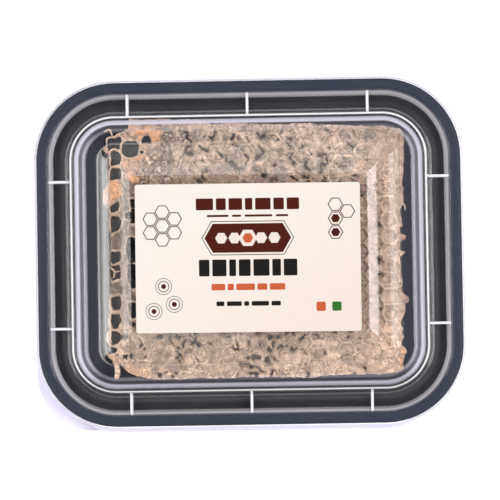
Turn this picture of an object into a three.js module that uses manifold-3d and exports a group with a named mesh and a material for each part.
// A block of cut honeycomb in its retail pack: a black rectangular food tray, a clear
// push-on lid with a raised panel, a paper label on that panel, and the comb inside.
//
// Millimetres, +Z up, long side along X. The origin is the middle of the footprint, on
// the surface that the tray stands on.
//
// Tray and lid share one set of concentric outlines. Every line of them is a rounded
// rectangle, drawn a given distance inside the lid's outermost edge: that distance is
// called the inset. So a moulded shell is only a profile of (inset, height) corners.

import * as THREE from 'three';
import { mergeVertices } from 'three/addons/utils/BufferGeometryUtils.js';
import Module from 'manifold-3d';

const wasm = await Module();
wasm.setup();

// ---- driving dimensions --------------------------------------------------------------

const LID_LENGTH = 139.7;       // 5.5 inch container, outside, along X
const LID_WIDTH = 113.6;        // nominally 4.5 inch, along Y
const CORNER_RADIUS = 26.3;     // of the lid's outermost edge
const SMALLEST_RADIUS = 0.6;    // where the concentric outlines have become sharp
const CORNER_STEPS = 5;         // chords in each quarter turn of an outline
const BEND_STEP = 0.8;          // most that one chord turns in a profile's bend, in radians

const TRAY_WALL = 0.8;
const TRAY_HEIGHT = 38;         // underside of the foot to the top of the rim
const RIM_OUTER = 0.95;         // inset of the tray's outer edge, inside the lid's skirt
const LIP_DEPTH = 3.8;          // the rim's lip hangs this far down
const LEDGE_DROP = 3.4;         // rim top to the ledge that the lid sits into
const FOOT_INSET = 15;          // middle of the wall where it meets the floor
const FOOT_WIDTH = 6;           // ring that the tray stands on
const FLOOR_RISE = 0.8;         // the middle of the floor stands this far above the ring

const LID_WALL = 0.6;
const LID_GAP = 0.3;            // clear space between the lid and the rim it covers
const SKIRT_DEPTH = 5.4;        // lid's flange to the skirt's lower edge
const CHANNEL_DROP = 3.2;       // flange to the floor of the channel
const CREST_RISE = 1.35;        // flange to the crest of the bead
const MOAT_DROP = 1.45;         // flange down to the flat moat round the dome
const DOME_FOOT_INSET = 21.5;
const PANEL_INSET = 31.4;       // the label panel's edge
const PANEL_RISE = 4;           // flange to the label panel
const DOME_STEPS = 6;
const DOME_EDGE_SLOPE = 0.45;   // how much of the dome's rise is a straight ramp

const RIB_WIDTH = 0.8;
const LONG_SIDE_RIBS = [-39.1, 0, 39.1];
const SHORT_SIDE_RIBS = [-23.9, 23.9];

const TAB_RADIUS = 20.3;        // tighter corner of the tab that peels the lid off
const TAB_THICKNESS = 0.8;
const TAB_SETBACK = 0.05;       // the tab stays this far inside the skirt's face

const LABEL_LENGTH = 72.8;
const LABEL_WIDTH = 48.1;
const LABEL_THICKNESS = 0.2;
const LABEL_CORNER = 0.8;
const LABEL_CENTRE = [-0.4, -1.8];
const LABEL_TURN = -0.25;      // degrees: the label was stuck on a little askew
const LABEL_GAP = 0.05;         // its adhesive, left out of the solid

const CELL = 5.33;              // comb cell, wall to wall
const COLUMN_STRETCH = 1.0245;  // the columns lie this much further apart than in even comb
const FIRST_CELL = [-44.3, 30.7]; // middle of row 0 in column 0, the column along the left cut
const OPEN_ROWS = [1, 0, -1, -3, -4, -6, -7, -9, -10, -11]; // uncapped cells of column 0
const LAST_BACK_ROW = 1;        // further back, column 0 has broken away
const COMB_LEFT = -48.3;        // beyond the cells of column 0, which aren't cut
const COMB_RIGHT = 51;
const COMB_FRONT = [-41.2, -38.8]; // the cut's left and right end
const COMB_BACK = [44, 42.2];
const COMB_TURN = -0.96;        // degrees: the block lies a little askew in the tray
const COMB_FLOOR = 2.2;         // underside of the block
const COMB_TOP = 35.7;          // mean height of the wax caps
const COMB_TAPER = 3.6;         // the block narrows this much on each side to its underside
const COMB_CORNER = 2.5;        // how far the cut's corners are rounded off
const CUT_MARGIN = 4;           // the lattice and the knife both overshoot the block by this
const WALL_SWELL = 0.25;        // how far the cell walls rise or sink
const CAP_SWELL = 0.5;          // how far a cap bulges or sinks
const CELL_DEPTH = 9;           // of an uncapped cell
const CELL_MOUTH = 0.8;         // part of an uncapped cell's width that is open at the top
const CELL_WELL = 0.74;         // and at the bottom
const KEY_GRID = 0.05;          // corners of cells closer than this are one point
const KEY_SHIFT = 0.26;         // keeps every corner away from the middle between two keys

// ---- profiles: (inset, height, corner radius) of a wall's middle surface --------------

const RIM_TOP = TRAY_HEIGHT - TRAY_WALL / 2;
const LEDGE = RIM_TOP - LEDGE_DROP;
const FLANGE = TRAY_HEIGHT + LID_GAP + LID_WALL / 2;
const SKIRT_INSET = LID_WALL / 2;
const CHANNEL = FLANGE - CHANNEL_DROP;
const CREST = FLANGE + CREST_RISE;
const MOAT = FLANGE - MOAT_DROP;
const PANEL = FLANGE + PANEL_RISE;

const trayProfile = [
  [RIM_OUTER + TRAY_WALL / 2, TRAY_HEIGHT - LIP_DEPTH, 0],
  [RIM_OUTER + TRAY_WALL / 2, RIM_TOP, 0.5],
  [3.8, RIM_TOP, 0.5],
  [4.7, LEDGE, 0.5],
  [10.5, LEDGE, 0.5],
  [FOOT_INSET, TRAY_WALL / 2, 3],
  [FOOT_INSET + FOOT_WIDTH, TRAY_WALL / 2, 0.6],
  [FOOT_INSET + FOOT_WIDTH + 1, TRAY_WALL / 2 + FLOOR_RISE, 0.6],
  [FOOT_INSET + FOOT_WIDTH + 3, TRAY_WALL / 2 + FLOOR_RISE, 0],
];

const lidProfile = [
  [SKIRT_INSET, FLANGE - SKIRT_DEPTH, 0],
  [SKIRT_INSET, FLANGE, 0.6],
  [4.4, FLANGE, 0.5],
  [5.8, CHANNEL, 0.5],
  [10.3, CHANNEL, 0.5],
  [11.7, CREST, 0.5],
  [12.7, CREST, 0.5],
  [14.6, CREST - 1.9, 0.4],
  [15.9, CREST - 2, 0.6],
  [16.9, MOAT, 0.35],
  [20.3, MOAT, 0.35],
  [20.9, MOAT + 1, 0.5],
  ...domeCurve(DOME_FOOT_INSET, MOAT + 1.1, PANEL_INSET, PANEL),
];

// The dome's flank is an S: a straight ramp with a smooth step added to it, so that it
// meets the flat panel at a crease, as it does on the moulding.
function domeCurve(insetA, heightA, insetB, heightB) {
  const points = [];
  for (let i = 0; i <= DOME_STEPS; i++) {
    const t = i / DOME_STEPS;
    const step = t * t * (3 - 2 * t);
    const rise = DOME_EDGE_SLOPE * t + (1 - DOME_EDGE_SLOPE) * step;
    points.push([insetA + (insetB - insetA) * t, heightA + (heightB - heightA) * rise, 0]);
  }
  return points;
}

// ---- shells ---------------------------------------------------------------------------

// Walks a profile and returns points with their normals. A corner with a radius becomes
// an arc; one without keeps its point, with a normal between those of its two sides.
function walkProfile(profile) {
  const points = profile.map(([inset, height]) => new THREE.Vector2(inset, height));
  const samples = [];
  for (let i = 0; i < points.length; i++) {
    const here = points[i];
    const before = points[i - 1] ?? here.clone().multiplyScalar(2).sub(points[i + 1]);
    const after = points[i + 1] ?? here.clone().multiplyScalar(2).sub(points[i - 1]);
    const arrive = here.clone().sub(before).normalize();
    const leave = after.clone().sub(here).normalize();
    const turn = Math.atan2(arrive.cross(leave), arrive.dot(leave));
    const radius = profile[i][2];
    const steps = radius > 0 ? Math.max(1, Math.ceil(Math.abs(turn) / BEND_STEP)) : 0;
    const setback = radius * Math.tan(Math.abs(turn) / 2);
    const start = here.clone().addScaledVector(arrive, -setback);
    const side = Math.sign(turn);
    const inwards = new THREE.Vector2(-arrive.y, arrive.x).multiplyScalar(side);
    const centre = start.clone().addScaledVector(inwards, radius);
    for (let k = 0; k <= steps; k++) {
      const part = steps === 0 ? 0.5 : k / steps;
      const heading = Math.atan2(arrive.y, arrive.x) + turn * part;
      const normal = new THREE.Vector2(-Math.sin(heading), Math.cos(heading));
      const onArc = centre.clone().addScaledVector(normal, -side * radius);
      const point = steps === 0 ? here.clone() : onArc;
      samples.push({ point, normal });
    }
  }
  return samples;
}

// One outline: a rounded rectangle at the given inset and height.
function outline(inset, height) {
  const radius = Math.max(CORNER_RADIUS - inset, SMALLEST_RADIUS);
  const armX = LID_LENGTH / 2 - inset - radius;
  const armY = LID_WIDTH / 2 - inset - radius;
  const points = [];
  for (let quarter = 0; quarter < 4; quarter++) {
    const signX = quarter === 0 || quarter === 3 ? 1 : -1;
    const signY = quarter < 2 ? 1 : -1;
    for (let k = 0; k <= CORNER_STEPS; k++) {
      const angle = (quarter + k / CORNER_STEPS) * Math.PI / 2;
      const x = signX * armX + radius * Math.cos(angle);
      const y = signY * armY + radius * Math.sin(angle);
      points.push([x, y, height]);
    }
  }
  return points;
}

// A thin moulding: both faces of the profile, closed at the free edge and capped over the
// middle, as one mesh.
function shell(profile, wall) {
  const samples = walkProfile(profile);
  const face = (side) => samples.map(({ point, normal }) => {
    const moved = point.clone().addScaledVector(normal, side * wall / 2);
    return outline(moved.x, moved.y);
  });
  const rings = [...face(-1).reverse(), ...face(1)];
  const count = rings[0].length;
  const vertices = rings.flat();
  const triangles = [];
  for (let ring = 0; ring + 1 < rings.length; ring++) {
    for (let k = 0; k < count; k++) {
      const a = ring * count + k;
      const b = ring * count + (k + 1) % count;
      triangles.push([a, b, b + count], [a, b + count, a + count]);
    }
  }
  for (const [ring, flip] of [[0, true], [rings.length - 1, false]]) {
    const hub = vertices.length;
    vertices.push([0, 0, rings[ring][0][2]]);
    for (let k = 0; k < count; k++) {
      const a = ring * count + k;
      const b = ring * count + (k + 1) % count;
      triangles.push(flip ? [hub, b, a] : [hub, a, b]);
    }
  }
  return meshGeometry(vertices, triangles);
}

// Makes an indexed geometry, turned so that its faces point outwards.
function meshGeometry(vertices, triangles) {
  let volume = 0;
  for (const [a, b, c] of triangles) {
    const [p, q, r] = [a, b, c].map((i) => new THREE.Vector3(...vertices[i]));
    volume += p.dot(q.cross(r)) / 6;
  }
  const facing = volume < 0 ? triangles.map(([a, b, c]) => [a, c, b]) : triangles;
  const geometry = new THREE.BufferGeometry();
  geometry.setAttribute('position', new THREE.Float32BufferAttribute(vertices.flat(), 3));
  geometry.setIndex(facing.flat());
  return geometry;
}

// ---- joins and cuts -------------------------------------------------------------------

function toSolid(geometry) {
  const bare = geometry.clone();
  bare.deleteAttribute('normal');
  bare.deleteAttribute('uv');
  const merged = mergeVertices(bare, 1e-4);
  return new wasm.Manifold(new wasm.Mesh({
    numProp: 3,
    vertProperties: Float32Array.from(merged.attributes.position.array),
    triVerts: Uint32Array.from(merged.index.array),
  }));
}

function toGeometry(solid) {
  const { vertProperties, triVerts } = solid.getMesh();
  const geometry = new THREE.BufferGeometry();
  geometry.setAttribute('position', new THREE.BufferAttribute(vertProperties, 3));
  geometry.setIndex(new THREE.BufferAttribute(triVerts, 1));
  return geometry;
}

// ---- lid ------------------------------------------------------------------------------

// A rib is a low upright web that fills the channel from wall to wall. Its outline follows
// the middle of the channel's own walls and floor, so that the join leaves one body.
function rib(side, along) {
  const [flangeEdge, outerFoot, innerFoot, crestFoot] = lidProfile.slice(2, 6);
  const climb = (FLANGE - CHANNEL) / (CREST - CHANNEL);
  const innerInset = innerFoot[0] + (crestFoot[0] - innerFoot[0]) * climb;
  const corners = [[flangeEdge[0], FLANGE], outerFoot, innerFoot, [innerInset, FLANGE]];
  const reach = (side % 2 === 0 ? LID_LENGTH : LID_WIDTH) / 2;
  const points = corners.map(([inset, height]) => new THREE.Vector2(reach - inset, height));
  const shape = new THREE.Shape(points);
  const geometry = new THREE.ExtrudeGeometry(shape, { depth: RIB_WIDTH, bevelEnabled: false });
  geometry.rotateX(Math.PI / 2);
  geometry.translate(0, along + RIB_WIDTH / 2, 0);
  geometry.rotateZ(side * Math.PI / 2);
  return toSolid(geometry);
}

// The peel tab fills the space between the skirt's round corner and a tighter one.
function peelTab() {
  const inner = CORNER_RADIUS - SKIRT_INSET;
  const halfX = LID_LENGTH / 2 - TAB_SETBACK;
  const halfY = LID_WIDTH / 2 - TAB_SETBACK;
  const shape = new THREE.Shape();
  shape.absarc(-halfX + TAB_RADIUS, -halfY + TAB_RADIUS, TAB_RADIUS, Math.PI, 1.5 * Math.PI, false);
  const centreX = -LID_LENGTH / 2 + CORNER_RADIUS;
  const centreY = -LID_WIDTH / 2 + CORNER_RADIUS;
  shape.absarc(centreX, centreY, inner, 1.5 * Math.PI, Math.PI, true);
  const geometry = new THREE.ExtrudeGeometry(shape, {
    depth: TAB_THICKNESS, bevelEnabled: false, curveSegments: 10,
  });
  geometry.translate(0, 0, FLANGE - SKIRT_DEPTH);
  return toSolid(geometry);
}

function lidGeometry() {
  let solid = toSolid(shell(lidProfile, LID_WALL));
  for (const along of SHORT_SIDE_RIBS) {
    solid = solid.add(rib(0, along)).add(rib(2, along));
  }
  for (const along of LONG_SIDE_RIBS) {
    solid = solid.add(rib(1, along)).add(rib(3, along));
  }
  return toGeometry(solid.add(peelTab()));
}

// ---- label ----------------------------------------------------------------------------

// A rectangle with round corners, centred on the origin.
function roundedRectangle(length, width, radius) {
  const x = length / 2 - radius;
  const y = width / 2 - radius;
  const shape = new THREE.Shape();
  shape.absarc(x, y, radius, 0, 0.5 * Math.PI, false);
  shape.absarc(-x, y, radius, 0.5 * Math.PI, Math.PI, false);
  shape.absarc(-x, -y, radius, Math.PI, 1.5 * Math.PI, false);
  shape.absarc(x, -y, radius, 1.5 * Math.PI, 2 * Math.PI, false);
  return shape;
}

function labelGeometry() {
  return new THREE.ExtrudeGeometry(roundedRectangle(LABEL_LENGTH, LABEL_WIDTH, LABEL_CORNER), {
    depth: LABEL_THICKNESS, bevelEnabled: false, curveSegments: 3,
  });
}

// ---- comb -----------------------------------------------------------------------------

// A fixed, uneven number from -1 to 1 for each place.
function unevenness(x, y) {
  const wave = Math.sin(x * 12.9898 + y * 78.233) * 43758.5453;
  return 2 * (wave - Math.floor(wave)) - 1;
}

// Cells of the lattice, with their middles. Each has two edges along X, and every second
// column is half a cell further up. On three sides the lattice is larger than the block;
// on the left it ends with whole cells.
function latticeCells() {
  const cells = [];
  const step = CELL * Math.sqrt(3) / 2 * COLUMN_STRETCH;
  const lastColumn = Math.ceil((COMB_RIGHT - FIRST_CELL[0]) / step) + 1;
  const firstRow = Math.floor((COMB_FRONT[0] - FIRST_CELL[1]) / CELL) - 1;
  const lastRow = Math.ceil((COMB_BACK[0] - FIRST_CELL[1]) / CELL) + 1;
  for (let column = 0; column <= lastColumn; column++) {
    const stagger = (column % 2) * CELL / 2;
    for (let row = firstRow; row <= (column === 0 ? LAST_BACK_ROW : lastRow); row++) {
      cells.push({
        x: FIRST_CELL[0] + column * step,
        y: FIRST_CELL[1] + row * CELL + stagger,
        open: column === 0 && OPEN_ROWS.includes(row),
      });
    }
  }
  return cells;
}

// The whole lattice as one body. Neighbouring cells share their corners, a capped cell is a
// low hexagonal pyramid, up or down, and an uncapped one is a well. Only the edges that one
// cell alone has get a side wall.
function lattice() {
  const vertices = [];
  const triangles = [];
  const places = new Map();
  const borders = new Map();
  const add = (x, y, z) => vertices.push([x, y, z]) - 1;
  const shared = (x, y, z, swell) => {
    const [keyX, keyY] = [x, y].map((place) => Math.round(place / KEY_GRID + KEY_SHIFT));
    const key = [keyX, keyY, z].join();
    if (!places.has(key)) places.set(key, add(x, y, z + swell * unevenness(keyX, keyY)));
    return places.get(key);
  };
  const sides = [0, 1, 2, 3, 4, 5];
  for (const { x, y, open } of latticeCells()) {
    const hexagon = (part) => sides.map((k) => {
      const reach = part * CELL / Math.sqrt(3);
      const along = reach * COLUMN_STRETCH * Math.cos(k * Math.PI / 3);
      return [x + along, y + reach * Math.sin(k * Math.PI / 3)];
    });
    const rim = hexagon(1).map(([px, py]) => shared(px, py, COMB_TOP, WALL_SWELL));
    const foot = hexagon(1).map(([px, py]) => shared(px, py, COMB_FLOOR - CUT_MARGIN, 0));
    if (open) {
      const mouth = hexagon(CELL_MOUTH).map(([px, py]) => add(px, py, COMB_TOP - WALL_SWELL));
      const well = hexagon(CELL_WELL).map(([px, py]) => add(px, py, COMB_TOP - CELL_DEPTH));
      const hub = add(x, y, COMB_TOP - CELL_DEPTH);
      for (const k of sides) {
        const n = (k + 1) % 6;
        triangles.push([rim[k], rim[n], mouth[n]], [rim[k], mouth[n], mouth[k]]);
        triangles.push([mouth[k], mouth[n], well[n]], [mouth[k], well[n], well[k]]);
        triangles.push([well[k], well[n], hub]);
      }
    } else {
      const hub = add(x, y, COMB_TOP + CAP_SWELL * unevenness(Math.round(x), Math.round(y)));
      for (const k of sides) triangles.push([rim[k], rim[(k + 1) % 6], hub]);
    }
    for (const k of [1, 2, 3, 4]) triangles.push([foot[0], foot[k + 1], foot[k]]);
    for (const k of sides) {
      const n = (k + 1) % 6;
      const key = [foot[k], foot[n]].sort((a, b) => a - b).join();
      if (!borders.delete(key)) borders.set(key, [rim[k], rim[n], foot[k], foot[n]]);
    }
  }
  for (const [rimA, rimB, footA, footB] of borders.values()) {
    triangles.push([footA, footB, rimB], [footA, rimB, rimA]);
  }
  return meshGeometry(vertices, triangles);
}

// The block that the knife leaves: four straight cuts that lean in a little towards its
// underside, where the tray narrows, and corners rounded off between them.
function cutBlock() {
  const corners = [
    [COMB_LEFT, COMB_FRONT[0]], [COMB_RIGHT, COMB_FRONT[1]],
    [COMB_RIGHT, COMB_BACK[1]], [COMB_LEFT, COMB_BACK[0]],
  ].map(([x, y]) => new THREE.Vector2(x, y));
  const shape = new THREE.Shape();
  corners.forEach((corner, i) => {
    const before = corners[(i + 3) % 4];
    const after = corners[(i + 1) % 4];
    const from = before.clone().sub(corner).setLength(COMB_CORNER).add(corner);
    const to = after.clone().sub(corner).setLength(COMB_CORNER).add(corner);
    if (i === 0) shape.moveTo(from.x, from.y);
    else shape.lineTo(from.x, from.y);
    shape.quadraticCurveTo(corner.x, corner.y, to.x, to.y);
  });
  const geometry = new THREE.ExtrudeGeometry(shape, {
    depth: COMB_TOP + CUT_MARGIN - COMB_FLOOR, bevelEnabled: false, curveSegments: 3,
  });
  geometry.translate(0, 0, COMB_FLOOR);
  const position = geometry.attributes.position;
  for (let i = 0; i < position.count; i++) {
    const [x, y, z] = [position.getX(i), position.getY(i), position.getZ(i)];
    const lean = COMB_TAPER * (COMB_TOP - z) / (COMB_TOP - COMB_FLOOR);
    position.setXY(i, x - Math.sign(x) * lean, y - Math.sign(y) * lean);
  }
  return geometry;
}

function combGeometry() {
  return toGeometry(toSolid(lattice()).intersect(toSolid(cutBlock())));
}

// ---- the pack -------------------------------------------------------------------------

function finish(color, roughness, options = {}) {
  return new THREE.MeshStandardMaterial({ color, roughness, metalness: 0, ...options });
}

function piece(name, geometry, material) {
  const mesh = new THREE.Mesh(geometry, material);
  mesh.name = name;
  return mesh;
}

const clear = { transparent: true, opacity: 0.3 };
const tray = piece('tray', shell(trayProfile, TRAY_WALL), finish(0x17181c, 0.45));
const lid = piece('lid', lidGeometry(), finish(0xf2f3f8, 0.12, clear));
const label = piece('label', labelGeometry(), finish(0xf8ebdd, 0.55));
const comb = piece('comb', combGeometry(), finish(0xb59a86, 0.6));

label.position.set(...LABEL_CENTRE, PANEL + LID_WALL / 2 + LABEL_GAP);
label.rotation.z = THREE.MathUtils.degToRad(LABEL_TURN);
comb.rotation.z = THREE.MathUtils.degToRad(COMB_TURN);

const group = new THREE.Group();
group.add(tray, lid, label, comb);

export default group;
